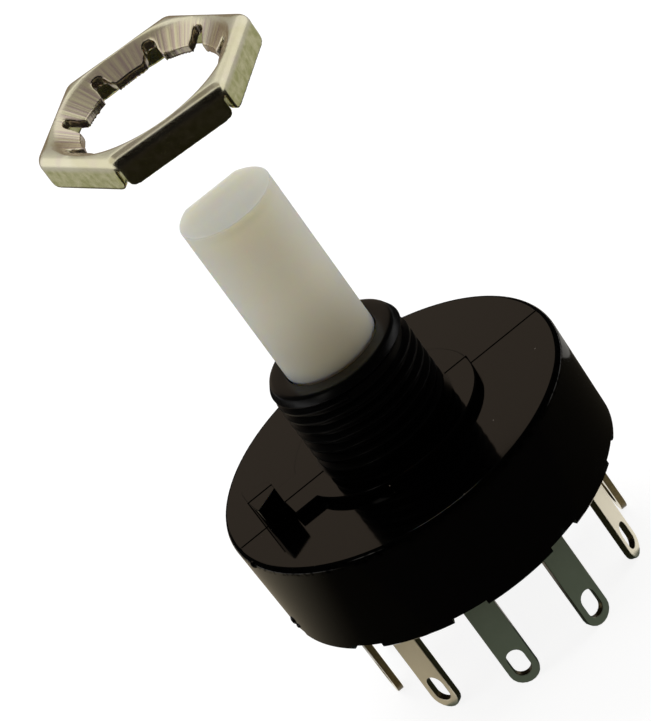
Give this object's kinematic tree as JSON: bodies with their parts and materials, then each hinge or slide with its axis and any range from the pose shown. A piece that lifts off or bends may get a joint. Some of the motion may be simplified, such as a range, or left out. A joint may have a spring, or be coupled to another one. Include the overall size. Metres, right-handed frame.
{
  "type": "rotary switch",
  "caption": "Panel-mount rotary switch: round black housing with a threaded bushing and a wedge key, a white shaft with a flat, a ring of solder lugs behind and a pressed hex nut.",
  "frame": {"origin": "on the shaft's axis, at the panel seat on top of the housing's collar", "axes": "+Z along the shaft towards its tip; the mould's parting plane is y = 0, with the key on the -X side"},
  "size_m": [0.024, 0.024, 0.0436],
  "materials": {
    "black_phenolic": "glossy black moulding",
    "black_base": "satin black moulding",
    "natural_nylon": "milky natural nylon",
    "slip_washer": "smooth low-friction sheet",
    "spring_steel": "polished",
    "spring_bronze": "bare strip",
    "tinned_brass": "dull plating",
    "yellow_zinc_steel": "yellow passivated zinc plating"
  },
  "bodies": {
    "switch_body": {"housing": "black_phenolic", "base": "black_base", "thrust_washer": "slip_washer", "common_terminal": "tinned_brass", "terminal_1": "tinned_brass", "terminal_2": "tinned_brass", "terminal_3": "tinned_brass", "terminal_4": "tinned_brass", "terminal_5": "tinned_brass", "terminal_6": "tinned_brass", "terminal_7": "tinned_brass", "terminal_8": "tinned_brass", "terminal_9": "tinned_brass", "terminal_10": "tinned_brass"},
    "rotor": {"shaft": "natural_nylon", "wiper": "spring_bronze", "detent_ball_1": "spring_steel", "detent_ball_2": "spring_steel", "detent_spring": "spring_steel"},
    "nut": {"nut": "yellow_zinc_steel"}
  },
  "joints": [
    {"name": "shaft_turn", "type": "hinge", "parent": "switch_body", "child": "rotor", "pos_m": [0, 0, 0], "axis": [0, 0, -1], "range_deg": [0, 324]},
    {"name": "nut_slide", "type": "slide", "parent": "switch_body", "child": "nut", "axis": [0, 0, 1], "range_m": [-0.0256, 0]}
  ]
}
